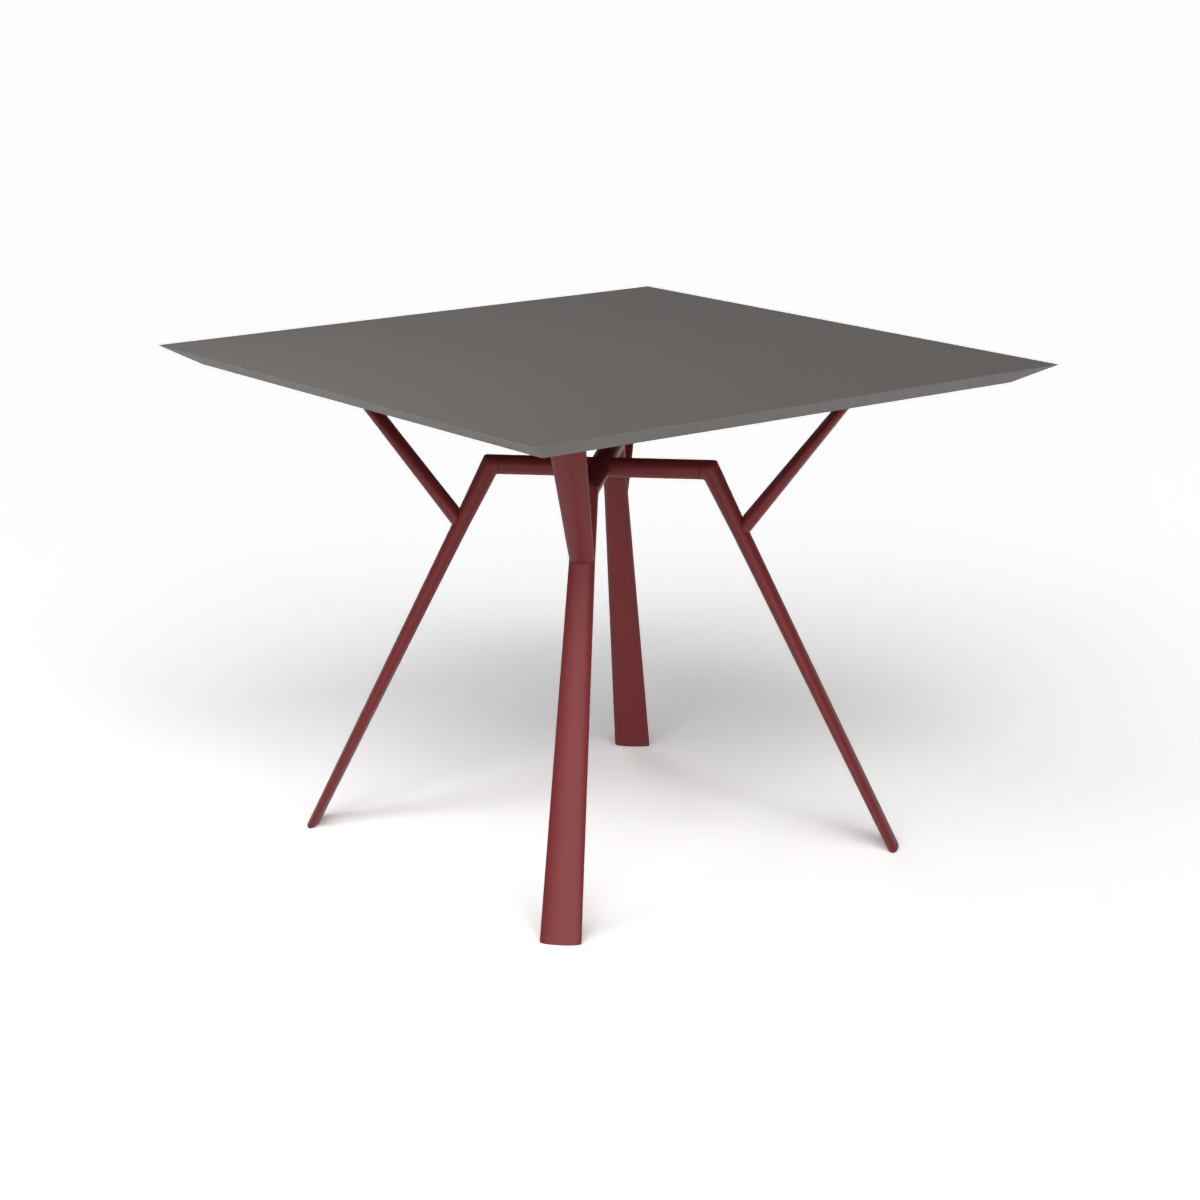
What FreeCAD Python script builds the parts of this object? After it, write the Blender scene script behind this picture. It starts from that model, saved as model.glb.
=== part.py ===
# Square dining table: a bevelled sandwich top on four forked legs that meet in a cross of elliptical arms.
# Millimetres. The origin is on the floor under the middle of the top, +Z is up, X and Y run along the sides.
import FreeCAD
import Part
import math
import os
from FreeCAD import Vector

# Whole table
top_side = 950.0
table_height = 752.0

# Top: a folded skin over a light core, closed below by a panel that lies inside the bevels
bevel_inset = 48.8
bevel_depth = 28.2
skin_thickness = 2.5
panel_thickness = 2.0
bond_gap = 0.2

# Skeleton of one leg, in the upright plane through the table's axis and the corner of the top: heights above
# the floor, reach out from the axis, and how far the foot and the branch's end stand in from the corner
arm_axis_height = 582.0
elbow_reach = 165.6
foot_inset = 219.75
fork_drop = 92.8
branch_inset = 283.45
elbow_round = 3.4
stub_straight = 2.1

# Elliptical sections: width is across the leg's own vertical plane, depth lies in it
arm_width = 36.4
arm_depth = 29.3
leg_fork_width = 37.9
leg_fork_depth = 24.6
foot_width = 59.0
foot_depth = 17.9
branch_fork_width = 35.7
branch_fork_depth = 23.9
branch_top_width = 53.6
branch_top_depth = 19.9

# Arm tube, the leg's tenon inside it and the set screws that hold them together
arm_wall = 3.0
seam_gap = 0.5
tenon_length = 46.0
tenon_clearance = 0.15
set_screw_radius = 3.0
set_screw_length = 9.0
set_screw_recess = 0.6
set_screw_socket_flats = 3.0
set_screw_socket_depth = 3.5
set_screw_shares = (0.3, 0.75)

# Fork: the branch is coped onto the leg and drawn up by a threaded stud
cope_gap = 0.1
stud_radius = 4.0
stud_length = 44.0
stud_past_axis = 4.0
hole_end_gap = 0.5

# Mounting plate on the branch end, its screws, and the insert nuts in the fixing blocks
plate_length = 76.0
plate_width = 104.0
plate_thickness = 5.0
plate_corner = 10.0
screw_edge = 13.0
screw_radius = 3.0
screw_head_radius = 6.0
screw_engagement = 13.0
screw_tip_room = 3.0
screw_hole_clearance = 0.4
screw_socket_flats = 4.0
screw_socket_depth = 2.2
insert_radius = 4.6
insert_flange_radius = 6.5
insert_flange_thickness = 1.5
block_margin = 4.0
thread_clearance = 0.1

# Foot glide, let into the end of the leg along the leg's own line
foot_chamfer = 0.9
glide_proud = 0.6
glide_inset = 2.2
glide_plug_inset = 4.6
glide_plug_height = 7.0
glide_clearance = 0.1

# How far cutting tools run past what they cut
cut_overrun = 4.0

# The corners that the legs stand under, each as a share of a full turn about the table's axis from +X
corner_names = ("front_right", "back_right", "back_left", "front_left")
corner_turn_shares = (-0.125, 0.125, 0.375, 0.625)

# Steps from the start to the end of the rounded bend at the elbow
elbow_step_shares = (0.0, 0.25, 0.5, 0.75, 1.0)

# Directions in the frame of one leg, which is modelled along +X and then turned to its corner
OUT = Vector(1, 0, 0)
ACROSS = Vector(0, 1, 0)
UP = Vector(0, 0, 1)

# Levels in the top
underside_z = table_height - bevel_depth
core_bottom_z = underside_z + panel_thickness
core_top_z = table_height - skin_thickness
plate_bottom_z = underside_z - plate_thickness

# Slope of the bevel: how far it runs inwards for each millimetre of depth, and the skin's level width there
bevel_run = bevel_inset / bevel_depth
skin_level_width = skin_thickness * math.hypot(1, bevel_run)

# Skeleton points and directions of one leg
corner_reach = top_side / math.sqrt(2)
foot_reach = corner_reach - foot_inset
branch_reach = corner_reach - branch_inset
elbow = Vector(elbow_reach, 0, arm_axis_height)
leg_line = (Vector(foot_reach, 0, 0) - elbow).normalize()
fork = elbow - leg_line * (fork_drop / leg_line.z)
branch_top = Vector(branch_reach, 0, plate_bottom_z)
branch_line = (branch_top - fork).normalize()

# Mitre at the elbow, half way between the arm and the leg, and the seam just before its inner corner
mitre_axis = (OUT - leg_line).normalize()
mitre_depth = 2 * arm_depth / (OUT + leg_line).Length
seam_reach = elbow_reach - elbow_round - mitre_axis.x * mitre_depth / 2 - stub_straight

# Fasteners follow the plate: screws near its corners, inserts longer than the screws reach
screw_along = plate_length / 2 - screw_edge
screw_across = plate_width / 2 - screw_edge
insert_length = screw_engagement + screw_tip_room
block_length = plate_length + 2 * block_margin
block_width = plate_width + 2 * block_margin


def turned(shape, turn_share):
    """Copy of a shape made along +X, turned about the table's axis by a share of a full turn."""
    copy = shape.copy()
    copy.rotate(Vector(), UP, math.degrees(math.tau * turn_share))
    return copy


def at_corners(shape):
    """The four copies of a shape made along +X, one at each corner."""
    return [turned(shape, turn_share) for turn_share in corner_turn_shares]


def ellipse(centre, depth_axis, width, depth):
    """Closed ellipse about a point, its width across the leg's plane and its depth along depth_axis."""
    side = ACROSS * (width / 2)
    rise = depth_axis * (depth / 2)
    normal = side.cross(rise).normalize()
    frame = FreeCAD.Matrix(
        side.x, rise.x, normal.x, centre.x,
        side.y, rise.y, normal.y, centre.y,
        side.z, rise.z, normal.z, centre.z,
    )
    return Part.Wire(Part.makeCircle(1)).transformGeometry(frame)


def loft(sections):
    """Solid with straight rulings through a row of closed sections."""
    return Part.makeLoft(sections, True, True)


def rod(start, direction, radius, length):
    """Round rod from a point along a direction."""
    return Part.makeCylinder(radius, length, start, direction)


def hexagon(start, flats, length):
    """Upright six-sided prism above a point, given its size across flats."""
    corner_radius = flats / 2 / math.cos(math.pi / 6)
    points = []
    for step in range(7):
        turn = step * math.pi / 3
        points.append(start + Vector(math.cos(turn), math.sin(turn), 0) * corner_radius)
    return Part.Face(Part.makePolygon(points)).extrude(UP * length)


def level_block(length, width, bottom_z, top_z):
    """Block centred over the branch end, length along the diagonal and width across it."""
    corner = Vector(branch_reach - length / 2, -width / 2, bottom_z)
    return Part.makeBox(length, width, top_z - bottom_z, corner)


def square(half, z):
    """Level square about the table's axis."""
    corners = [(half, half), (-half, half), (-half, -half), (half, -half), (half, half)]
    return Part.makePolygon([Vector(x, y, z) for x, y in corners])


def cavity_half(z):
    """Half the width of the hollow inside the skin at a height."""
    return top_side / 2 - skin_level_width - (table_height - z) * bevel_run


def screw_points(z):
    """Places of one plate's screws at a height."""
    return [
        Vector(branch_reach + x, y, z)
        for x in (-screw_along, screw_along)
        for y in (-screw_across, screw_across)
    ]


def leg_height_point(height):
    """Point of the leg's axis at a height above the floor."""
    return elbow + leg_line * ((height - elbow.z) / leg_line.z)


def make_top_skin():
    """Flat face and four bevels in one folded sheet, open below."""
    outer = loft([square(top_side / 2 - bevel_inset, underside_z), square(top_side / 2, table_height)])
    below = underside_z - cut_overrun
    hollow = loft([square(cavity_half(below), below), square(cavity_half(core_top_z), core_top_z)])
    return outer.cut(hollow)


def make_top_core():
    """Light core that fills the skin, with a pocket over each branch end."""
    lower = square(cavity_half(core_bottom_z) - bond_gap, core_bottom_z)
    upper = square(cavity_half(core_top_z) - bond_gap, core_top_z)
    pocket = level_block(
        block_length + 2 * bond_gap,
        block_width + 2 * bond_gap,
        core_bottom_z - cut_overrun,
        core_top_z + cut_overrun,
    )
    return loft([lower, upper]).cut(at_corners(pocket))


def make_underside_panel():
    """Closing panel inside the bevels, with clearance holes for the plate screws."""
    half = cavity_half(underside_z) - bond_gap
    panel = Part.makeBox(2 * half, 2 * half, panel_thickness, Vector(-half, -half, underside_z))
    length = panel_thickness + 2 * cut_overrun
    holes = []
    for point in screw_points(underside_z - cut_overrun):
        holes += at_corners(rod(point, UP, screw_radius + screw_hole_clearance, length))
    return panel.cut(holes)


def insert_seat(point, gap):
    """Flanged outline of one insert nut above a point of the block's lower face, grown by a gap."""
    flange = rod(point, UP, insert_flange_radius + gap, insert_flange_thickness + gap)
    body = rod(point, UP, insert_radius + gap, insert_length + gap)
    return flange.fuse(body)


def make_fixing_block():
    """Block let into the core, bored from below for the insert nuts."""
    block = level_block(block_length, block_width, core_bottom_z, core_top_z)
    return block.cut([insert_seat(point, thread_clearance) for point in screw_points(core_bottom_z)])


def make_insert_nuts():
    """Flanged insert nuts of one fixing block, threaded right through."""
    bore = screw_radius + thread_clearance
    nuts = []
    for point in screw_points(core_bottom_z):
        hole = rod(point - UP * cut_overrun, UP, bore, insert_length + 2 * cut_overrun)
        nuts.append(insert_seat(point, 0).cut(hole))
    return nuts


def screw_cone(point, gap):
    """Countersunk head from the plate's lower face up to the shank, grown by a gap."""
    height = screw_head_radius - screw_radius
    return Part.makeCone(screw_head_radius + gap, screw_radius + gap, height, point, UP)


def make_plate_screws():
    """Countersunk screws of one plate, up through the panel into the insert nuts."""
    shank = plate_thickness + panel_thickness + screw_engagement
    screws = []
    for point in screw_points(plate_bottom_z):
        screw = screw_cone(point, 0).fuse(rod(point, UP, screw_radius, shank))
        socket = hexagon(point, screw_socket_flats, screw_socket_depth)
        screws.append(screw.cut(socket))
    return screws


def make_mounting_plate():
    """Plate between the branch end and the top, with rounded corners and countersunk holes."""
    plate = level_block(plate_length, plate_width, plate_bottom_z, underside_z)
    upright = [edge for edge in plate.Edges if edge.BoundBox.ZLength > plate_thickness / 2]
    plate = plate.makeFillet(plate_corner, upright)
    length = plate_thickness + 2 * cut_overrun
    for point in screw_points(plate_bottom_z):
        hole = rod(point - UP * cut_overrun, UP, screw_radius + screw_hole_clearance, length)
        plate = plate.cut([hole, screw_cone(point, screw_hole_clearance)])
    return plate


def leg_body(margin):
    """Leg from the seam through the rounded elbow and the fork to the foot, grown all round by a margin."""
    growth = 2 * margin
    leg_axis = leg_line.cross(ACROSS)
    stub = Vector(seam_reach + seam_gap / 2, 0, arm_axis_height)
    sections = [ellipse(stub, UP, arm_width + growth, arm_depth + growth)]
    for share in elbow_step_shares:
        shift = leg_line * (elbow_round * share**2) - OUT * (elbow_round * (1 - share) ** 2)
        sections.append(ellipse(elbow + shift, mitre_axis, arm_width + growth, mitre_depth + growth))
    sections.append(ellipse(fork, leg_axis, leg_fork_width + growth, leg_fork_depth + growth))
    ankle = leg_height_point(glide_proud + foot_chamfer)
    sections.append(ellipse(ankle, OUT, foot_width + growth, foot_depth + growth))
    sole = leg_height_point(glide_proud)
    trim = growth - 2 * foot_chamfer
    sections.append(ellipse(sole, OUT, foot_width + trim, foot_depth + trim))
    return loft(sections)


def foot_plug(inset, bottom_z, top_z):
    """Plug along the leg's line, its outline set in from the foot's."""
    width = foot_width - 2 * inset
    depth = foot_depth - 2 * inset
    ends = [leg_height_point(z) for z in (bottom_z, top_z)]
    return loft([ellipse(end, -OUT, width, depth) for end in ends])


def stud_hole():
    """Tapped hole through the fork along the branch's line, for the stud."""
    start = fork - branch_line * (stud_past_axis + hole_end_gap)
    return rod(start, branch_line, stud_radius + thread_clearance, stud_length + 2 * hole_end_gap)


def make_branch_stud():
    """Threaded stud that draws the branch onto the leg."""
    return rod(fork - branch_line * stud_past_axis, branch_line, stud_radius, stud_length)


def set_screw_points(z):
    """Places of one arm's set screws at a height."""
    return [Vector(seam_reach - tenon_length * share, 0, z) for share in set_screw_shares]


def set_screw_holes():
    """Upright tapped holes for one arm's set screws, from below the arm to just past the screws' ends."""
    bottom = arm_axis_height - arm_depth / 2
    radius = set_screw_radius + thread_clearance
    length = cut_overrun + set_screw_recess + set_screw_length + hole_end_gap
    return [rod(point, UP, radius, length) for point in set_screw_points(bottom - cut_overrun)]


def make_set_screws():
    """Set screws of one arm, just inside its lower face, each with a hexagon socket."""
    screws = []
    for point in set_screw_points(arm_axis_height - arm_depth / 2 + set_screw_recess):
        body = rod(point, UP, set_screw_radius, set_screw_length)
        socket = hexagon(point, set_screw_socket_flats, set_screw_socket_depth)
        screws.append(body.cut(socket))
    return screws


def arm_tube(inset, start_reach, end_reach):
    """Elliptical bar along the arm's axis, set in all round from the arm's outside."""
    ends = [Vector(reach, 0, arm_axis_height) for reach in (start_reach, end_reach)]
    return loft([ellipse(end, UP, arm_width - 2 * inset, arm_depth - 2 * inset) for end in ends])


def make_arm():
    """Elliptical tube from the mitre on the table's axis to the seam."""
    end = seam_reach - seam_gap / 2
    bore = arm_tube(arm_wall, -cut_overrun, end + cut_overrun)
    tube = arm_tube(0, -cut_overrun, end).cut(bore)
    low = arm_axis_height - arm_depth
    points = [Vector(0, 0, low), Vector(end, -end, low), Vector(end, end, low), Vector(0, 0, low)]
    quarter = Part.Face(Part.makePolygon(points)).extrude(UP * (2 * arm_depth))
    return tube.common(quarter).cut(set_screw_holes())


def make_leg():
    """Casting with its tenon, drilled for the set screws and the stud and recessed for the glide."""
    tenon = arm_tube(
        arm_wall + tenon_clearance,
        seam_reach - tenon_length,
        seam_reach + seam_gap / 2,
    )
    leg = leg_body(0).fuse(tenon)
    recess = foot_plug(
        glide_plug_inset - glide_clearance,
        glide_proud - cut_overrun,
        glide_proud + glide_plug_height + glide_clearance,
    )
    return leg.cut(set_screw_holes() + [stud_hole(), recess])


def make_branch():
    """Branch from the cope on the leg to the mounting plate, bored for the stud."""
    lower = ellipse(fork, branch_line.cross(ACROSS), branch_fork_width, branch_fork_depth)
    upper = ellipse(branch_top, -OUT, branch_top_width, branch_top_depth)
    return loft([lower, upper]).cut([leg_body(cope_gap), stud_hole()])


def make_foot_glide():
    """Pad under the foot with a plug that fills the recess in the leg."""
    pad = foot_plug(glide_inset, 0, glide_proud)
    plug = foot_plug(glide_plug_inset, glide_proud, glide_proud + glide_plug_height)
    return pad.fuse(plug)


def save(name, solids):
    """Write one node's solids as one file."""
    shape = solids[0] if len(solids) == 1 else Part.makeCompound(solids)
    shape.exportStep("parts/" + name + ".step")


def main():
    """Make every node of the table."""
    os.makedirs("parts", exist_ok=True)
    save("top_skin", [make_top_skin()])
    save("top_core", [make_top_core()])
    save("underside_panel", [make_underside_panel()])
    singles = {
        "arm": make_arm(),
        "leg": make_leg(),
        "branch": make_branch(),
        "mounting_plate": make_mounting_plate(),
        "fixing_block": make_fixing_block(),
        "foot_glide": make_foot_glide(),
    }
    for piece, solid in singles.items():
        for corner, copy in zip(corner_names, at_corners(solid)):
            save(piece + "_" + corner, [copy])
    groups = {
        "insert_nuts": make_insert_nuts(),
        "plate_screws": make_plate_screws(),
        "arm_set_screws": make_set_screws(),
        "branch_studs": [make_branch_stud()],
    }
    for name, solids in groups.items():
        save(name, [copy for solid in solids for copy in at_corners(solid)])


main()
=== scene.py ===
import math
from typing import NamedTuple

import bpy
import numpy as np
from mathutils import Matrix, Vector


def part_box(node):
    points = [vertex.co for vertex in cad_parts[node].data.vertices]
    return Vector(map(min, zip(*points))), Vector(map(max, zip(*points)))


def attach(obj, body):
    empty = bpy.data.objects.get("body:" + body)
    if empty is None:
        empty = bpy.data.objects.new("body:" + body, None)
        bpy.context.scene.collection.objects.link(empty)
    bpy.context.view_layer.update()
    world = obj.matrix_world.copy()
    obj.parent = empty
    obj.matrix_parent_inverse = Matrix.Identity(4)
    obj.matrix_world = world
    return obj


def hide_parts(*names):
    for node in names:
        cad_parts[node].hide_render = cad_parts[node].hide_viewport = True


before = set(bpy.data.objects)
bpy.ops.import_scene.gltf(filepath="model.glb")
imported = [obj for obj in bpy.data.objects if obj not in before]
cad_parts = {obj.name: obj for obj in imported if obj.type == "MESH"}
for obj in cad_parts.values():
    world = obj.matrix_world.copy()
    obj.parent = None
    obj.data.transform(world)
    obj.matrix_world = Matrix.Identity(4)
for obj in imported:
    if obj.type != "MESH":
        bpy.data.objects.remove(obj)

bl_info = {
    "name": "Forked-leg dining table",
    "version": (1, 0, 0),
    "blender": (4, 5, 0),
    "location": "3D View > Sidebar > Dining Table",
    "description": "Finishes a square dining table with forked legs and sets it in a studio",
    "category": "Object",
}

BODY = "root"

# Where each corner of the table lies, in degrees round from +X.
CORNERS = {"front_right": -45, "back_right": 45, "back_left": 135, "front_left": 225}

# Material slots of the CAD nodes.
RED, GREY, PAPER = "red_powder_coat", "grey_top_coat", "paper_core"
PLYWOOD, ZINC, GLIDE, BACKING = "plywood", "zinc_steel", "black_glide", "red_backing"

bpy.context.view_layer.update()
TOP_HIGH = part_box("top_skin")[1]
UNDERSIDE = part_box("underside_panel")[0].z
PLATE_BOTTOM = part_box("mounting_plate_front_right")[0].z


def length(name, description, default):
    """A size in metres that the sidebar shows with its unit."""
    return bpy.props.FloatProperty(
        name=name, description=description, default=default, unit="LENGTH", precision=4
    )


def angle(name, description, degrees):
    """An angle, written in degrees and kept in radians."""
    return bpy.props.FloatProperty(
        name=name, description=description, default=math.radians(degrees), subtype="ANGLE"
    )


def level(name, description, default):
    """A plain number from 0 up."""
    return bpy.props.FloatProperty(name=name, description=description, default=default, min=0)


def share(name, description, default):
    """A plain number from 0 to 1."""
    return bpy.props.FloatProperty(
        name=name, description=description, default=default, min=0, max=1, subtype="FACTOR"
    )


def colour(name, description, default):
    """A linear colour."""
    return bpy.props.FloatVectorProperty(
        name=name, description=description, default=default, size=3, min=0, max=1, subtype="COLOR"
    )


class TopForm(bpy.types.PropertyGroup):
    """Sizes of the table's top."""

    half_side: length("Half side", "From the middle of the top to its edge", TOP_HIGH.x)
    height: length("Height", "Of the top's face above the floor", TOP_HIGH.z)
    bevel_inset: length("Bevel inset", "How far the bevel runs inwards under the top", 0.0488)
    skin_width: length("Skin width", "Level width of the folded sheet at its lower lip", 0.005)
    skin_thickness: length("Skin thickness", "Of the sheet under the top's face", 0.0025)
    edge_round: length("Edge round", "Radius of the fold at the rim", 0.00022)
    corner_round: length("Corner round", "Radius of the rim's corners, seen from above", 0.0006)


class LegForm(bpy.types.PropertyGroup):
    """Sizes of one forked leg, in its own upright plane."""

    arm_height: length("Arm height", "Of the arms' axis above the floor", 0.582)
    elbow_reach: length("Elbow reach", "From the table's axis to the elbow", 0.1656)
    foot_reach: length("Foot reach", "From the table's axis to the foot", 0.452)
    branch_reach: length("Branch reach", "From the table's axis to the branch's upper end", 0.3883)
    fork_drop: length("Fork drop", "From the arms' axis down to the fork", 0.0928)
    arm_width: length("Arm width", "Of the arm's ellipse, across", 0.0364)
    arm_depth: length("Arm depth", "Of the arm's ellipse, upright", 0.0293)
    fork_width: length("Leg width at the fork", "Across the leg", 0.0379)
    fork_depth: length("Leg depth at the fork", "In the leg's plane", 0.0246)
    foot_width: length("Foot width", "Across the foot", 0.059)
    foot_depth: length("Foot depth", "In the leg's plane, level", 0.0179)
    branch_low_width: length("Branch width at the fork", "Across the branch", 0.0357)
    branch_low_depth: length("Branch depth at the fork", "In the leg's plane", 0.0239)
    branch_top_width: length("Branch width at the top", "Across the branch", 0.0536)
    branch_top_depth: length("Branch depth at the top", "In the leg's plane, level", 0.0199)
    elbow_round: length("Elbow round", "Length of the bend at the elbow", 0.0034)
    stub: length("Stub", "Straight length between the seam and the bend", 0.0021)
    seam_gap: length("Seam gap", "Between the arm and the leg", 0.0013)
    seam_round: length("Seam round", "Radius of the rim at the seam", 0.0005)
    tenon_length: length("Tenon length", "Inside the arm", 0.046)
    tenon_inset: length("Tenon inset", "From the arm's outside to the tenon", 0.00315)
    foot_chamfer: length("Foot chamfer", "Round the sole", 0.0009)
    sole_height: length("Sole height", "Of the sole above the floor, on the glide", 0.0006)
    recess_inset: length("Glide recess inset", "From the foot's outline", 0.0045)
    recess_depth: length("Glide recess depth", "Up into the foot", 0.0071)
    branch_round: length("Branch round", "Radius of the branch's lower rim", 0.0035)
    cope_gap: length("Cope gap", "Between the branch's end and the leg", 0.0001)


class Finishes(bpy.types.PropertyGroup):
    """Colours and gloss of the table's finishes."""

    frame_red: colour("Frame red", "Coat of arms, legs and branches", (0.155, 0.0232, 0.0243))
    frame_roughness: share("Frame roughness", "Of the satin powder coat", 0.42)
    frame_gloss: share("Frame gloss", "Specular level of the powder coat", 0.18)
    top_grey: colour("Top grey", "Coat of the top", (0.174, 0.164, 0.157))
    top_roughness: share("Top roughness", "Of the matte coat", 0.58)
    top_gloss: share("Top gloss", "Specular level of the matte coat", 0.12)
    backing_red: colour("Backing red", "Sheet that closes the underside", (0.1, 0.0145, 0.015))
    backing_gloss: share("Backing gloss", "Specular level of the sheet's coat", 0.1)
    zinc: colour("Zinc", "Plating of screws, nuts and studs", (0.6, 0.6, 0.58))
    ply: colour("Plywood", "Fixing blocks", (0.55, 0.4, 0.25))
    paper: colour("Paper", "Honeycomb core", (0.5, 0.38, 0.25))
    glide_black: colour("Glide black", "Plastic under the feet", (0.022, 0.022, 0.023))


class Studio(bpy.types.PropertyGroup):
    """Where the camera stands, how bright the lamps are and how the floor is drawn."""

    azimuth: angle("Azimuth", "Of the camera, round the table", 52)
    elevation: angle("Elevation", "Of the camera, above level", 15)
    distance: length("Distance", "From the camera to the point it looks at", 4.287)
    aim_height: length("Aim height", "Of the point that the camera looks at", 0.376)
    lens: bpy.props.FloatProperty(
        name="Lens", description="Focal length", default=84.957, unit="CAMERA"
    )
    lamp_level: level("Lamp level", "Scales all lamps", 1.0)
    glow: level("Glow", "Of the pale studio that gloss reflects", 0.4)
    floor_white: colour("Floor white", "Colour of the floor", (0.97, 0.97, 0.97))
    floor_lift: level("Floor lift", "How white the floor is drawn", 1.43)


class Sock:
    """A node's output. Arithmetic on one that gives a number adds Math nodes to its tree."""

    def __init__(self, tree, socket):
        self.tree = tree
        self.socket = socket

    def math(self, operation, other):
        """A Math node on this number and another one."""
        node = self.tree.nodes.new("ShaderNodeMath")
        node.operation = operation
        for socket, value in zip(node.inputs, (self, other)):
            feed(self.tree, socket, value)
        return Sock(self.tree, node.outputs[0])

    def __add__(self, other):
        return self.math("ADD", other)

    def __mul__(self, other):
        return self.math("MULTIPLY", other)

    __radd__ = __add__
    __rmul__ = __mul__


def feed(tree, socket, value):
    """Give a socket a link, or a plain value."""
    if isinstance(value, Sock):
        tree.links.new(value.socket, socket)
    else:
        socket.default_value = value


def rgba(value):
    """A colour with its alpha, or the socket that already carries one."""
    return value if isinstance(value, Sock) else (*value, 1.0)


def shade(value, factor):
    """A colour made lighter or darker."""
    return tuple(min(channel * factor, 1.0) for channel in value)


def ramp(factor, low, high):
    """A number that a factor carries from low to high."""
    return low + (high - low) * factor


# Sockets whose names repeat go by number. These are a Mix node's, for colours.
MIX_FACTOR, MIX_FIRST, MIX_SECOND, MIX_RESULT = 0, 6, 7, 2


class Nodes:
    """A node tree while its nodes are being laid."""

    def __init__(self, tree):
        self.tree = tree
        self.tree.nodes.clear()

    def node(self, kind, settings=None, sockets=None, output=0):
        """Add a node: its settings first, then the values or links of its sockets."""
        node = self.tree.nodes.new(kind)
        for name, value in (settings or {}).items():
            setattr(node, name, value)
        for name, value in (sockets or {}).items():
            feed(self.tree, node.inputs[name], value)
        return Sock(self.tree, node.outputs[output]) if node.outputs else None

    def ray(self, kind):
        """1 for rays of one kind, such as Camera or Glossy, and 0 for all others."""
        return self.node("ShaderNodeLightPath", output=f"Is {kind} Ray")

    def place(self, scale=(1, 1, 1)):
        """Object coordinates in metres, times a scale on each axis."""
        coords = self.node("ShaderNodeTexCoord", output="Object")
        return self.node("ShaderNodeMapping", sockets={"Vector": coords, "Scale": scale})

    def noise(self, size, detail, squeeze=(1, 1, 1)):
        """Noise between 0 and 1. Its blots are about size metres wide, squeezed on each axis."""
        sockets = {"Vector": self.place(squeeze), "Scale": 1 / size, "Detail": detail}
        return self.node("ShaderNodeTexNoise", sockets=sockets, output="Fac")

    def blend(self, factor, first, second):
        """Mix of two colours."""
        sockets = {MIX_FACTOR: factor, MIX_FIRST: rgba(first), MIX_SECOND: rgba(second)}
        return self.node("ShaderNodeMix", {"data_type": "RGBA"}, sockets, output=MIX_RESULT)

    def vary(self, factor, value, darkest, lightest):
        """A colour that a factor carries from its darkest shade to its lightest."""
        return self.blend(factor, shade(value, darkest), shade(value, lightest))

    def bump(self, height, depth):
        """Normal of a surface whose height field is depth metres deep."""
        sockets = {"Height": height, "Distance": depth, "Strength": 1.0}
        return self.node("ShaderNodeBump", sockets=sockets)


class Finish(Nodes):
    """A material while its nodes are being laid."""

    def __init__(self, name):
        self.material = bpy.data.materials.new(name)
        self.material.use_nodes = True
        super().__init__(self.material.node_tree)

    def close(self, shader):
        """End the material in a shader."""
        self.node("ShaderNodeOutputMaterial", sockets={"Surface": shader})
        return self.material

    def surface(self, sockets):
        """End the material in a principled shader."""
        return self.close(self.node("ShaderNodeBsdfPrincipled", sockets=sockets))


# How far the roughness of the two coats goes to each side of its middle.
COAT_SWING = 0.03


def powder_coat(props):
    """Satin red powder coat: a fine orange peel, and faint clouds in tone and gloss."""
    finish = Finish("satin_red_powder_coat")
    cloud = finish.noise(size=0.09, detail=3)
    peel = finish.noise(size=0.0016, detail=1)
    speck = finish.noise(size=0.0005, detail=1)
    red = tuple(props.frame_red)
    tone = finish.vary(cloud, red, darkest=0.94, lightest=1.06)
    tone = finish.blend(speck * 0.2, tone, shade(red, 0.8))
    rough = props.frame_roughness
    return finish.surface(
        {
            "Base Color": tone,
            "Roughness": ramp(cloud, rough - COAT_SWING, rough + COAT_SWING),
            "Specular IOR Level": props.frame_gloss,
            "Normal": finish.bump(peel, depth=0.00002),
        }
    )


def matte_coat(props):
    """Matte grey coat of the top: a fine dry grain and faint clouds."""
    finish = Finish("matte_grey_coat")
    cloud = finish.noise(size=0.2, detail=3)
    grain = finish.noise(size=0.0007, detail=2)
    grey = tuple(props.top_grey)
    tone = finish.vary(cloud, grey, darkest=0.975, lightest=1.025)
    tone = finish.blend(grain * 0.25, tone, shade(grey, 0.86))
    rough = props.top_roughness
    return finish.surface(
        {
            "Base Color": tone,
            "Roughness": ramp(grain, rough - COAT_SWING, rough + COAT_SWING),
            "Specular IOR Level": props.top_gloss,
            "Normal": finish.bump(grain, depth=0.000012),
        }
    )


def backing_coat(props):
    """Dull red coat of the sheet under the top: grain along one side, and a faint mottle."""
    finish = Finish("dull_red_backing")
    mottle = finish.noise(size=0.03, detail=3)
    grain = finish.noise(size=0.0009, detail=2, squeeze=(0.15, 1, 1))
    red = tuple(props.backing_red)
    return finish.surface(
        {
            "Base Color": finish.vary(mottle, red, darkest=0.92, lightest=1.08),
            "Roughness": ramp(grain, low=0.72, high=0.86),
            "Specular IOR Level": props.backing_gloss,
            "Normal": finish.bump(grain, depth=0.00001),
        }
    )


def zinc_plate(props):
    """Zinc-plated steel: spangle and fine scratches."""
    finish = Finish("zinc_plated_steel")
    spangle = finish.noise(size=0.0012, detail=2)
    scratch = finish.noise(size=0.0004, detail=2, squeeze=(1, 1, 12))
    return finish.surface(
        {
            "Base Color": finish.vary(spangle, tuple(props.zinc), darkest=0.8, lightest=1.1),
            "Metallic": 1.0,
            "Roughness": ramp(scratch, low=0.28, high=0.48),
            "Normal": finish.bump(scratch, depth=0.000006),
        }
    )


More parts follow.
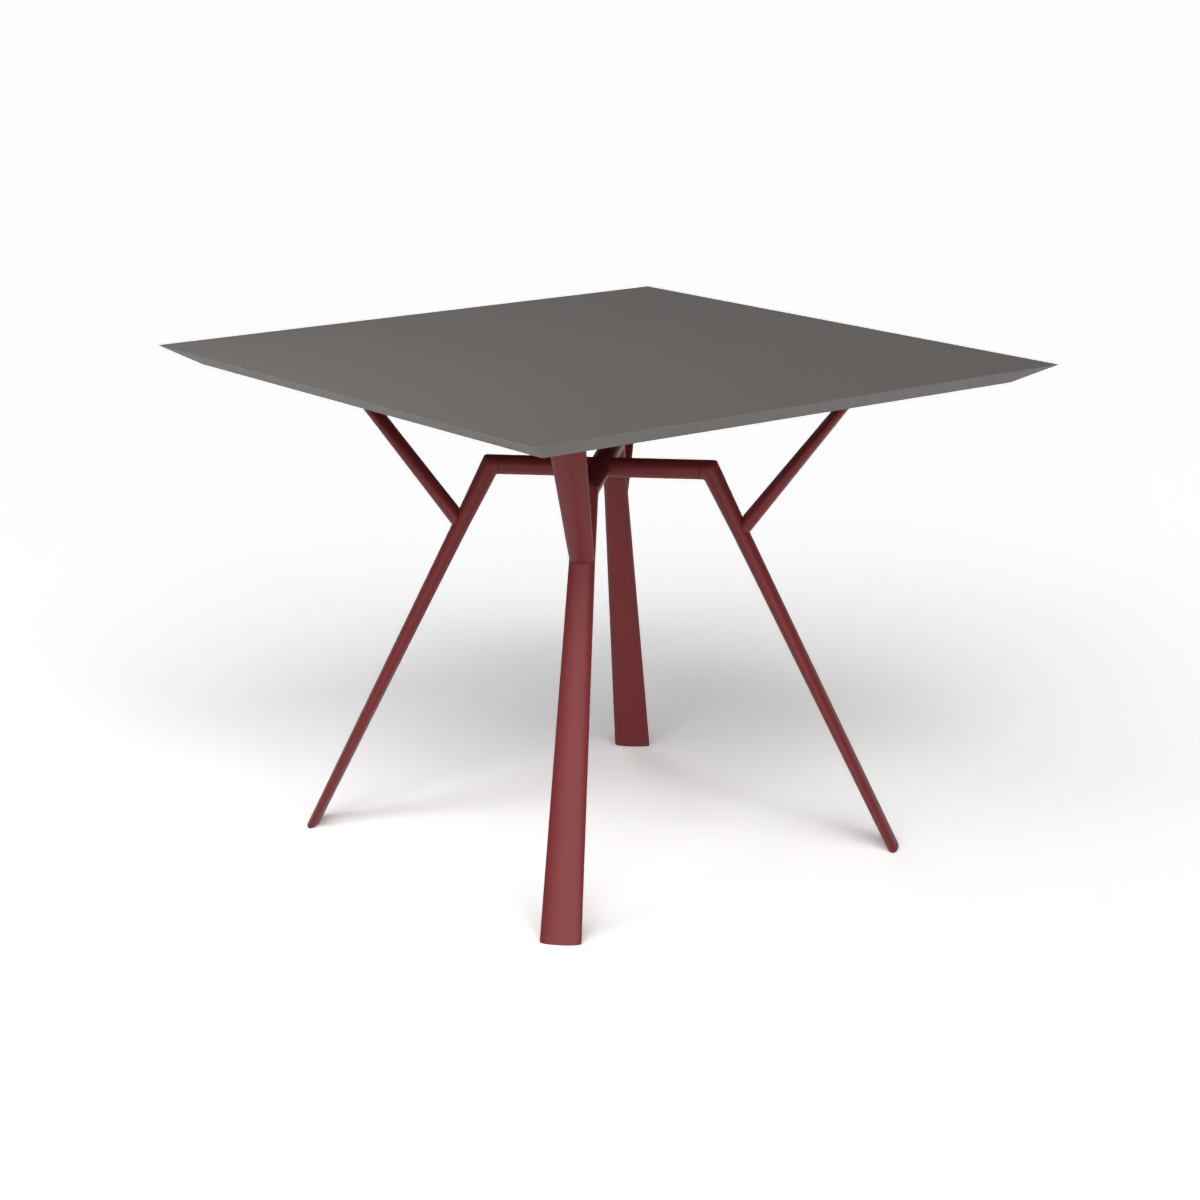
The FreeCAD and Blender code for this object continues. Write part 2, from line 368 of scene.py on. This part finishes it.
def plywood(props):
    """Plywood: level veneers a millimetre and a half thick with grain along them."""
    finish = Finish("birch_plywood")
    grain = finish.noise(size=0.004, detail=3, squeeze=(1, 0.08, 4))
    veneer = finish.node(
        "ShaderNodeTexWave",
        {"bands_direction": "Z", "wave_profile": "SIN"},
        {"Vector": finish.place(), "Scale": 105.0, "Distortion": 0.2},
        output="Fac",
    )
    ply = tuple(props.ply)
    tone = finish.vary(veneer, ply, darkest=0.72, lightest=1.1)
    tone = finish.blend(grain * 0.4, tone, shade(ply, 0.6))
    return finish.surface(
        {
            "Base Color": tone,
            "Roughness": ramp(grain, low=0.6, high=0.8),
            "Normal": finish.bump(grain, depth=0.00008),
        }
    )


def paper_honeycomb(props):
    """Kraft paper honeycomb: cells a centimetre wide with thin walls, and painted shade in the cells'
    hollows.
    """
    finish = Finish("paper_honeycomb")
    cells = finish.node(
        "ShaderNodeTexVoronoi",
        {"feature": "DISTANCE_TO_EDGE"},
        {"Vector": finish.place((1, 1, 0)), "Scale": 90.0, "Randomness": 0.25},
        output="Distance",
    )
    fibre = finish.noise(size=0.0015, detail=3)
    # Half a wall's thickness, as a share of a cell's width.
    half_wall = 0.06
    wall = cells.math("LESS_THAN", half_wall)
    paper = tuple(props.paper)
    # Painted shade: the hollows between the walls are drawn dark, as the shade inside the open cells,
    # and the walls stay a little lighter than the paper.
    tone = finish.vary(wall, paper, darkest=0.45, lightest=1.1)
    tone = finish.blend(fibre * 0.3, tone, shade(paper, 0.75))
    return finish.surface(
        {
            "Base Color": tone,
            "Roughness": ramp(fibre, low=0.8, high=0.95),
            "Normal": finish.bump(wall, depth=0.0004),
        }
    )


def glide_plastic(props):
    """Moulded black plastic with a spark-eroded grain."""
    finish = Finish("black_glide_plastic")
    grain = finish.noise(size=0.0006, detail=2)
    wear = finish.noise(size=0.008, detail=3)
    return finish.surface(
        {
            "Base Color": finish.vary(wear, tuple(props.glide_black), darkest=0.8, lightest=1.5),
            "Roughness": ramp(grain, low=0.45, high=0.65),
            "Normal": finish.bump(grain, depth=0.00003),
        }
    )


MAKERS = {
    RED: powder_coat,
    GREY: matte_coat,
    BACKING: backing_coat,
    ZINC: zinc_plate,
    PLYWOOD: plywood,
    PAPER: paper_honeycomb,
    GLIDE: glide_plastic,
}
made_finishes = {}


def finish_for(slot):
    """The one material of a slot, made when it is first asked for."""
    if slot not in made_finishes:
        made_finishes[slot] = MAKERS[slot](bpy.context.scene.table_finishes)
    return made_finishes[slot]


def dress(node, slot):
    """Give a CAD node the material of a slot."""
    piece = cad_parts[node]
    for holder in piece.material_slots:
        holder.material = finish_for(slot)


def ring_faces(rows, around):
    """Quads between neighbouring closed rings, and a fan to a pole at each end.

    Vertex k of ring r is number r * around + k, and the two poles come after all rings.
    """
    k = np.arange(around)
    following = (k + 1) % around
    ring = np.arange(rows - 1)[:, None] * around
    next_ring = ring + around
    quads = np.stack([ring + k, ring + following, next_ring + following, next_ring + k], axis=-1)
    last = (rows - 1) * around
    first_pole = np.full(around, rows * around)
    first_fan = np.stack([following, k, first_pole], axis=-1)
    last_fan = np.stack([last + k, last + following, first_pole + 1], axis=-1)
    return quads.reshape(-1, 4), np.concatenate([first_fan, last_fan])


def enclosed_volume(points, quads, fans):
    """Signed volume: a sixth of the sum of the triple products of each triangle's corners."""
    triangles = np.concatenate([quads[:, [0, 1, 2]], quads[:, [0, 2, 3]], fans])
    a, b, c = (points[triangles[:, i]] for i in range(3))
    return np.einsum("ij,ij->i", a, np.cross(b, c)).sum() / 6


def surface_piece(name, rings, poles, slot, replaced, sharp_degrees=30):
    """A closed mesh from rows of rings, riding on the table and standing for one CAD node.

    rings is an array of (row, place round the ring, xyz), and poles holds the two end points.
    """
    rows, around, _ = rings.shape
    points = np.concatenate([rings.reshape(-1, 3), np.asarray(poles, float)])
    quads, fans = ring_faces(rows, around)
    if enclosed_volume(points, quads, fans) < 0:
        quads, fans = quads[:, ::-1], fans[:, ::-1]
    mesh = bpy.data.meshes.new(name)
    mesh.from_pydata(points.tolist(), [], quads.tolist() + fans.tolist())
    mesh.polygons.foreach_set("use_smooth", np.ones(len(mesh.polygons), bool))
    mesh.set_sharp_from_angle(angle=math.radians(sharp_degrees))
    mesh.materials.append(finish_for(slot))
    mesh.update()
    piece = bpy.data.objects.new(name, mesh)
    bpy.context.scene.collection.objects.link(piece)
    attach(piece, BODY)
    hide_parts(replaced)


def turned(points, degrees):
    """Points turned about the table's axis."""
    cosine = math.cos(math.radians(degrees))
    sine = math.sin(math.radians(degrees))
    return points @ np.array([[cosine, sine, 0], [-sine, cosine, 0], [0, 0, 1]])


def coated_set(kind, rings, poles):
    """The same red piece at each corner, standing for that corner's CAD node."""
    for corner, degrees in CORNERS.items():
        places = turned(rings, degrees), turned(np.array(poles), degrees)
        surface_piece(f"coated_{kind}_{corner}", *places, RED, f"{kind}_{corner}")


# Directions of a leg that stands along +X.
OUT = np.array([1.0, 0.0, 0.0])
ACROSS = np.array([0.0, 1.0, 0.0])
UP = np.array([0.0, 0.0, 1.0])


def unit(vector):
    """A vector of length one."""
    return vector / np.linalg.norm(vector)


def ellipse(centre, depth_axis, width, depth, around=96):
    """Ring: centre + across * width/2 * cos t + depth_axis * depth/2 * sin t, for a full turn t."""
    t = np.linspace(0, 2 * np.pi, around, endpoint=False)[:, None]
    return centre + ACROSS * (width / 2 * np.cos(t)) + depth_axis * (depth / 2 * np.sin(t))


def between(first, second, steps):
    """Rings on straight rulings from the first ring to the second, without the first itself."""
    s = np.linspace(0, 1, steps + 1)[1:, None, None]
    return first + s * (second - first)


def halved(low, high, holds, rounds=40):
    """The last numbers for which a test holds, found by halving the spans from low to high."""
    for _ in range(rounds):
        middle = (low + high) / 2
        held = holds(middle)
        low = np.where(held, middle, low)
        high = np.where(held, high, middle)
    return low


class LegLines:
    """Points and directions of one leg that stands along +X, worked out from its sizes."""

    def __init__(self, form):
        self.elbow = OUT * form.elbow_reach + UP * form.arm_height
        self.line = unit(OUT * form.foot_reach - self.elbow)
        self.leg_axis = np.cross(self.line, ACROSS)
        self.fork = self.elbow - self.line * (form.fork_drop / self.line[2])
        self.ankle = self.at_height(form.sole_height + form.foot_chamfer)
        self.branch_top = OUT * form.branch_reach + UP * PLATE_BOTTOM
        self.branch_line = unit(self.branch_top - self.fork)
        self.mitre_axis = unit(OUT - self.line)
        self.mitre_depth = 2 * form.arm_depth / np.linalg.norm(OUT + self.line)
        inner_corner = form.elbow_round + self.mitre_axis[0] * self.mitre_depth / 2
        self.seam = form.elbow_reach - inner_corner - form.stub

    def at_height(self, height):
        """Point of the leg's axis at a height above the floor."""
        return self.elbow + self.line * ((height - self.elbow[2]) / self.line[2])


# How many rows of points the rounded and the straight stretches of a leg and a branch have.
SEAM_ROWS, ELBOW_ROWS, UPPER_LEG_ROWS, LOWER_LEG_ROWS = 5, 17, 12, 60
RIM_ROWS, BRANCH_ROWS = 9, 40


def leg_rings(form):
    """Rows of the leg from the tenon's end through the elbow and the fork to the sole's recess.

    Each row is an ellipse. Round the elbow the mitre's ellipse slides along a parabola,
    line * r * t * t - out * r * (1 - t) * (1 - t) for t from 0 to 1. The rim at the seam is a
    quarter circle, and the rest are straight rulings.
    """
    lines = LegLines(form)
    axis = UP * form.arm_height
    start = lines.seam + form.seam_gap / 2
    tenon_width = form.arm_width - 2 * form.tenon_inset
    tenon_depth = form.arm_depth - 2 * form.tenon_inset
    tenon_end = OUT * (lines.seam - form.tenon_length) + axis
    rows = [
        ellipse(tenon_end, UP, tenon_width, tenon_depth),
        ellipse(OUT * start + axis, UP, tenon_width, tenon_depth),
    ]
    for turn in np.linspace(0, np.pi / 2, SEAM_ROWS):
        inset = 2 * form.seam_round * (1 - math.sin(turn))
        centre = OUT * (start + form.seam_round * (1 - math.cos(turn))) + axis
        rows.append(ellipse(centre, UP, form.arm_width - inset, form.arm_depth - inset))
    for t in np.linspace(0, 1, ELBOW_ROWS):
        shift = lines.line * (form.elbow_round * t**2) - OUT * (form.elbow_round * (1 - t) ** 2)
        centre = lines.elbow + shift
        rows.append(ellipse(centre, lines.mitre_axis, form.arm_width, lines.mitre_depth))
    fork = ellipse(lines.fork, lines.leg_axis, form.fork_width, form.fork_depth)
    ankle = ellipse(lines.ankle, OUT, form.foot_width, form.foot_depth)
    rows.extend(between(rows[-1], fork, UPPER_LEG_ROWS))
    rows.extend(between(fork, ankle, LOWER_LEG_ROWS))
    sole = lines.at_height(form.sole_height)
    trim = 2 * form.foot_chamfer
    rows.append(ellipse(sole, OUT, form.foot_width - trim, form.foot_depth - trim))
    recess_width = form.foot_width - 2 * form.recess_inset
    recess_depth = form.foot_depth - 2 * form.recess_inset
    recess_top = lines.at_height(form.sole_height + form.recess_depth)
    rows.append(ellipse(sole, OUT, recess_width, recess_depth))
    rows.append(ellipse(recess_top, OUT, recess_width, recess_depth))
    return np.array(rows), (tenon_end, recess_top)


def dot(first, second):
    """Dot products of two arrays of vectors."""
    return np.einsum("...i,...i->...", first, second)


def outside_leg(points, form, lines):
    """How far points lie outside the leg near the fork: below 0 inside, and above 0 outside.

    The section through a point is found by halving the span between a place above the fork and
    the ankle, and the point's place in that ellipse gives (across / a)^2 + (depth / b)^2 - 1.
    """
    # Where the search begins, as a share of the way from the fork to the ankle.
    above_fork = -0.4

    def section(s):
        centre = lines.fork + s[..., None] * (lines.ankle - lines.fork)
        rise = lines.leg_axis * (form.fork_depth / 2) * (1 - s[..., None])
        rise = rise + OUT * (form.foot_depth / 2) * s[..., None]
        return centre, rise

    def point_is_beyond(s):
        centre, rise = section(s)
        return dot(points - centre, np.cross(rise, ACROSS)) < 0

    shape = points.shape[:-1]
    s = halved(np.full(shape, above_fork), np.full(shape, 1.0), point_is_beyond)
    centre, rise = section(s)
    half_width = (form.fork_width + s * (form.foot_width - form.fork_width)) / 2
    depth = dot(points - centre, rise) / dot(rise, rise)
    return (points[..., 1] / half_width) ** 2 + depth**2 - 1


def branch_rings(form):
    """Rows of the branch from its rounded rim on the leg up to the mounting plate.

    Each row is an ellipse set in by i from the branch's outside. Its rulings are followed down
    from the top to the leg's surface by halving, and then lifted, with i = r - r cos t and
    lift = r - r sin t on the rounded rim, for t from a quarter turn down to 0.
    """
    lines = LegLines(form)
    low_axis = np.cross(lines.branch_line, ACROSS)
    low_size = np.array([form.branch_low_width, form.branch_low_depth])
    top_size = np.array([form.branch_top_width, form.branch_top_depth])

    def ends(inset):
        lower = ellipse(lines.fork, low_axis, *(low_size - inset))
        upper = ellipse(lines.branch_top, -OUT, *(top_size - inset))
        return upper, lower

    def on_leg(inset, lift):
        upper, lower = ends(inset)

        def is_outside(s):
            return outside_leg(upper + s[:, None] * (lower - upper), form, lines) > 0

        s = halved(np.zeros(len(upper)), np.ones(len(upper)), is_outside)
        ruling = upper - lower
        up_ruling = ruling / np.linalg.norm(ruling, axis=1)[:, None]
        return upper - s[:, None] * ruling + up_ruling * lift

    rows = []
    for turn in np.linspace(np.pi / 2, 0, RIM_ROWS):
        inset = 2 * form.branch_round * (1 - math.cos(turn))
        rows.append(on_leg(inset, form.branch_round * (1 - math.sin(turn)) + form.cope_gap))
    upper, _ = ends(0)
    rows.extend(between(rows[-1], upper, BRANCH_ROWS))
    return np.array(rows), (lines.fork, lines.branch_top)


def square_ring(half, height, radius, steps=4, support=0.002):
    """Rounded square: each corner's arc is its centre + radius * (cos t, sin t), a quarter turn long.

    A support point on the side before and after each arc keeps the long flat faces flat in
    their shading.
    """
    t = np.linspace(0, np.pi / 2, steps + 1)
    quarter = np.arange(4)[:, None] * np.pi / 2
    bearing = quarter + t[np.r_[0, : steps + 1, steps]]
    slide = np.r_[-1, np.zeros(steps + 1), 1] * support
    diagonal = quarter + np.pi / 4
    centre = (half - radius) * math.sqrt(2)
    x = centre * np.cos(diagonal) + radius * np.cos(bearing) - slide * np.sin(bearing)
    y = centre * np.sin(diagonal) + radius * np.sin(bearing) + slide * np.cos(bearing)
    return np.stack([x, y, np.full_like(x, height)], axis=-1).reshape(-1, 3)


def filleted(profile, radii, steps=6, support=0.001):
    """A row of profile points with each corner replaced by an arc that is tangent to both its sides.

    The arc's centre lies on the corner's bisector, radius / sin(half angle) away from the
    corner, and a support point stands on each side, just off the arc.
    """
    out = [profile[0]]
    for before, corner, after, radius in zip(profile, profile[1:], profile[2:], radii):
        back, ahead = unit(before - corner), unit(after - corner)
        half = math.acos(np.clip(back @ ahead, -1, 1)) / 2
        centre = corner + unit(back + ahead) * (radius / math.sin(half))
        first = corner + back * (radius / math.tan(half))
        last = corner + ahead * (radius / math.tan(half))
        sweep = math.pi - 2 * half
        t = np.linspace(0, 1, steps + 1)[:, None]
        arc = np.sin((1 - t) * sweep) * (first - centre) + np.sin(t * sweep) * (last - centre)
        out.append(first + back * support)
        out.extend(centre + arc / math.sin(sweep))
        out.append(last + ahead * support)
    out.append(profile[-1])
    return np.array(out)


def top_rings(form):
    """Rows of the top's folded skin, from its face over the rim and the bevel and back inside.

    The profile of half widths and heights has a small arc at each fold, and each of its points
    is carried round the table as a rounded square. Both flat faces begin halfway out from the
    middle, and a fan to the pole fills the rest.
    """
    bevel_depth = form.height - UNDERSIDE
    run = form.bevel_inset / bevel_depth
    lip = form.half_side - form.bevel_inset
    inner = form.height - form.skin_thickness
    inner_half = form.half_side - form.skin_width - form.skin_thickness * run
    profile = np.array(
        [
            (form.half_side / 2, form.height),
            (form.half_side, form.height),
            (lip, UNDERSIDE),
            (lip - form.skin_width, UNDERSIDE),
            (inner_half, inner),
            (inner_half / 2, inner),
        ]
    )
    rim_fold = form.edge_round
    lip_fold = 2 * rim_fold
    inner_fold = rim_fold / 2
    points = filleted(profile, (rim_fold, lip_fold, inner_fold, inner_fold))
    rows = [square_ring(half, height, form.corner_round) for half, height in points]
    return np.array(rows), (UP * form.height, UP * inner)


class AddTop(bpy.types.Operator):
    """Build the top's folded skin and finish the core and the panel that it holds"""

    bl_idname = "dining_table.add_top"
    bl_label = "Top"

    def execute(self, context):
        rings, poles = top_rings(context.scene.table_top)
        surface_piece("folded_top", rings, poles, GREY, "top_skin", sharp_degrees=12)
        dress("underside_panel", BACKING)
        dress("top_core", PAPER)
        return {"FINISHED"}


class AddLegs(bpy.types.Operator):
    """Build the four legs, each from its tenon through the elbow to the foot"""

    bl_idname = "dining_table.add_legs"
    bl_label = "Legs"

    def execute(self, context):
        coated_set("leg", *leg_rings(context.scene.table_leg))
        return {"FINISHED"}


class AddBranches(bpy.types.Operator):
    """Build the four branches, from their rounded rims on the legs up to the plates"""

    bl_idname = "dining_table.add_branches"
    bl_label = "Branches"

    def execute(self, context):
        coated_set("branch", *branch_rings(context.scene.table_leg))
        return {"FINISHED"}


class CoatArms(bpy.types.Operator):
    """Finish the arms and the mounting plates in the frame's powder coat"""

    bl_idname = "dining_table.coat_arms"
    bl_label = "Arms and plates"

    def execute(self, context):
        for corner in CORNERS:
            dress("arm_" + corner, RED)
            dress("mounting_plate_" + corner, RED)
        return {"FINISHED"}


class FinishFittings(bpy.types.Operator):
    """Finish the screws, nuts, studs, fixing blocks and glides"""

    bl_idname = "dining_table.finish_fittings"
    bl_label = "Fittings"

    def execute(self, context):
        for group in ("insert_nuts", "plate_screws", "arm_set_screws", "branch_studs"):
            dress(group, ZINC)
        for corner in CORNERS:
            dress("fixing_block_" + corner, PLYWOOD)
            dress("foot_glide_" + corner, GLIDE)
        return {"FINISHED"}


class SoftLamp(NamedTuple):
    """A broad far lamp: its name, degrees round from the camera, above level and across, and level."""

    name: str
    turn: float
    elevation: float
    spread: float
    level: float


SOFT_LAMPS = (
    SoftLamp("soft_lamp_front", turn=5, elevation=22, spread=64, level=0.88),
    SoftLamp("soft_lamp_left", turn=-29, elevation=45, spread=50, level=0.265),
    SoftLamp("soft_lamp_right", turn=40, elevation=45, spread=38, level=0.145),
    SoftLamp("soft_lamp_back", turn=210, elevation=30, spread=36, level=0.12),
)
# A far lamp lights alike from any place, so this only says where it is drawn.
SOFT_LAMP_DISTANCE = 6

# The near panel: degrees round from the camera and above level, then metres and watts.
PANEL_TURN, PANEL_ELEVATION = -56, 41
PANEL_DISTANCE = 1.68
PANEL_AIM_HEIGHT = 0.5
PANEL_WIDTH = 0.7
PANEL_POWER = 5.8

# Middle of the pale studio that gloss reflects: degrees round from the camera and above level.
GLOW_TURN, GLOW_ELEVATION = 3, 25

# The floor and the far end of the camera's view in metres, and its sensor in millimetres.
FLOOR_HALF_WIDTH = 60.0
VIEW_END = 200
SENSOR_WIDTH = 36


def direction(azimuth, elevation):
    """Unit vector from the table towards a place round it."""
    level_part = math.cos(elevation)
    x, y = math.sin(azimuth) * level_part, -math.cos(azimuth) * level_part
    return Vector((x, y, math.sin(elevation)))


def beside_camera(studio, turn, elevation):
    """Unit vector towards a place that is given in degrees round from the camera and above level."""
    return direction(studio.azimuth + math.radians(turn), math.radians(elevation))


def add_floor(studio):
    """A wide pale floor at the table's feet, drawn white where it is seen or mirrored."""
    finish = Finish("plain_floor")
    white = rgba(studio.floor_white)
    lifted = rgba([studio.floor_lift] * 3)
    plain = finish.node("ShaderNodeBsdfDiffuse", sockets={"Color": white})
    drawn = finish.node("ShaderNodeBsdfDiffuse", sockets={"Color": lifted})
    mirrored = finish.ray("Glossy").math("MAXIMUM", finish.ray("Transmission"))
    seen = finish.ray("Camera").math("MAXIMUM", mirrored)
    surface = finish.node("ShaderNodeMixShader", sockets={0: seen, 1: plain, 2: drawn})
    material = finish.close(surface)
    half = FLOOR_HALF_WIDTH
    corners = [(-half, -half, 0), (half, -half, 0), (half, half, 0), (-half, half, 0)]
    mesh = bpy.data.meshes.new("floor")
    mesh.from_pydata(corners, [], [(0, 1, 2, 3)])
    mesh.materials.append(material)
    floor = bpy.data.objects.new("floor", mesh)
    bpy.context.scene.collection.objects.link(floor)


def stand(name, data, towards, distance, aim):
    """Stand a lamp or a camera on one side of a point and turn it to face that point."""
    holder = bpy.data.objects.new(name, data)
    bpy.context.scene.collection.objects.link(holder)
    holder.rotation_mode = "QUATERNION"
    holder.rotation_quaternion = towards.to_track_quat("Z", "Y")
    holder.location = aim + towards * distance
    return holder


def add_lamps(studio):
    """Broad soft lamps before and behind the table, and a small round panel up on its left."""
    for soft in SOFT_LAMPS:
        lamp = bpy.data.lights.new(soft.name, "SUN")
        lamp.energy = math.pi * soft.level * studio.lamp_level
        lamp.angle = math.radians(soft.spread)
        towards = beside_camera(studio, soft.turn, soft.elevation)
        stand(soft.name, lamp, towards, SOFT_LAMP_DISTANCE, Vector())
    panel = bpy.data.lights.new("left_panel", "AREA")
    panel.shape = "DISK"
    panel.size = PANEL_WIDTH
    panel.energy = PANEL_POWER * studio.lamp_level
    towards = beside_camera(studio, PANEL_TURN, PANEL_ELEVATION)
    stand("left_panel", panel, towards, PANEL_DISTANCE, Vector((0, 0, PANEL_AIM_HEIGHT)))


def add_world(studio):
    """White behind the floor, and a broad pale studio before the table for gloss to reflect."""
    world = bpy.data.worlds.new("studio")
    world.use_nodes = True
    nodes = Nodes(world.node_tree)
    coords = nodes.node("ShaderNodeTexCoord", output="Generated")
    front = beside_camera(studio, GLOW_TURN, GLOW_ELEVATION)
    facing = nodes.node(
        "ShaderNodeVectorMath", {"operation": "DOT_PRODUCT"}, {0: coords, 1: front}, output="Value"
    )
    ahead = facing.math("MAXIMUM", 0.0)
    background = nodes.ray("Camera") + nodes.ray("Transmission")
    strength = background + nodes.ray("Glossy") * ahead * ahead * studio.glow
    sockets = {"Color": (1, 1, 1, 1), "Strength": strength}
    light = nodes.node("ShaderNodeBackground", sockets=sockets)
    nodes.node("ShaderNodeOutputWorld", sockets={"Surface": light})
    bpy.context.scene.world = world


def add_camera(studio):
    """The camera at the photograph's angle, looking at the middle of the table."""
    lens = bpy.data.cameras.new("camera")
    lens.lens = studio.lens
    lens.sensor_width = SENSOR_WIDTH
    lens.clip_end = VIEW_END
    towards = direction(studio.azimuth, studio.elevation)
    aim = Vector((0, 0, studio.aim_height))
    bpy.context.scene.camera = stand("camera", lens, towards, studio.distance, aim)


class SetStage(bpy.types.Operator):
    """Lay the floor and set up the lamps, the world and the camera"""

    bl_idname = "dining_table.set_stage"
    bl_label = "Stage"

    def execute(self, context):
        studio = context.scene.table_studio
        add_floor(studio)
        add_lamps(studio)
        add_world(studio)
        add_camera(studio)
        context.scene.view_settings.view_transform = "Standard"
        return {"FINISHED"}


OPERATORS = (AddTop, AddLegs, AddBranches, CoatArms, FinishFittings, SetStage)
GROUPS = {
    "table_top": TopForm,
    "table_leg": LegForm,
    "table_finishes": Finishes,
    "table_studio": Studio,
}


class TablePanel(bpy.types.Panel):
    """Sidebar panel with the table's sizes, finishes and steps"""

    bl_idname = "VIEW3D_PT_dining_table"
    bl_label = "Dining Table"
    bl_space_type = "VIEW_3D"
    bl_region_type = "UI"
    bl_category = "Dining Table"

    def draw(self, context):
        for group, kind in GROUPS.items():
            box = self.layout.box()
            box.label(text=kind.__doc__)
            for name in kind.__annotations__:
                box.prop(getattr(context.scene, group), name)
        for operator in OPERATORS:
            self.layout.operator(operator.bl_idname)


def register():
    """Register the classes and hang the property groups on the scene."""
    for kind in (*GROUPS.values(), *OPERATORS, TablePanel):
        bpy.utils.register_class(kind)
    for name, kind in GROUPS.items():
        setattr(bpy.types.Scene, name, bpy.props.PointerProperty(type=kind))


def unregister():
    """Undo register()."""
    for name in GROUPS:
        delattr(bpy.types.Scene, name)
    for kind in reversed((*GROUPS.values(), *OPERATORS, TablePanel)):
        bpy.utils.unregister_class(kind)


def main():
    register()
    bpy.ops.dining_table.add_top()
    bpy.ops.dining_table.add_legs()
    bpy.ops.dining_table.add_branches()
    bpy.ops.dining_table.coat_arms()
    bpy.ops.dining_table.finish_fittings()
    bpy.ops.dining_table.set_stage()


if __name__ == "__main__":
    main()
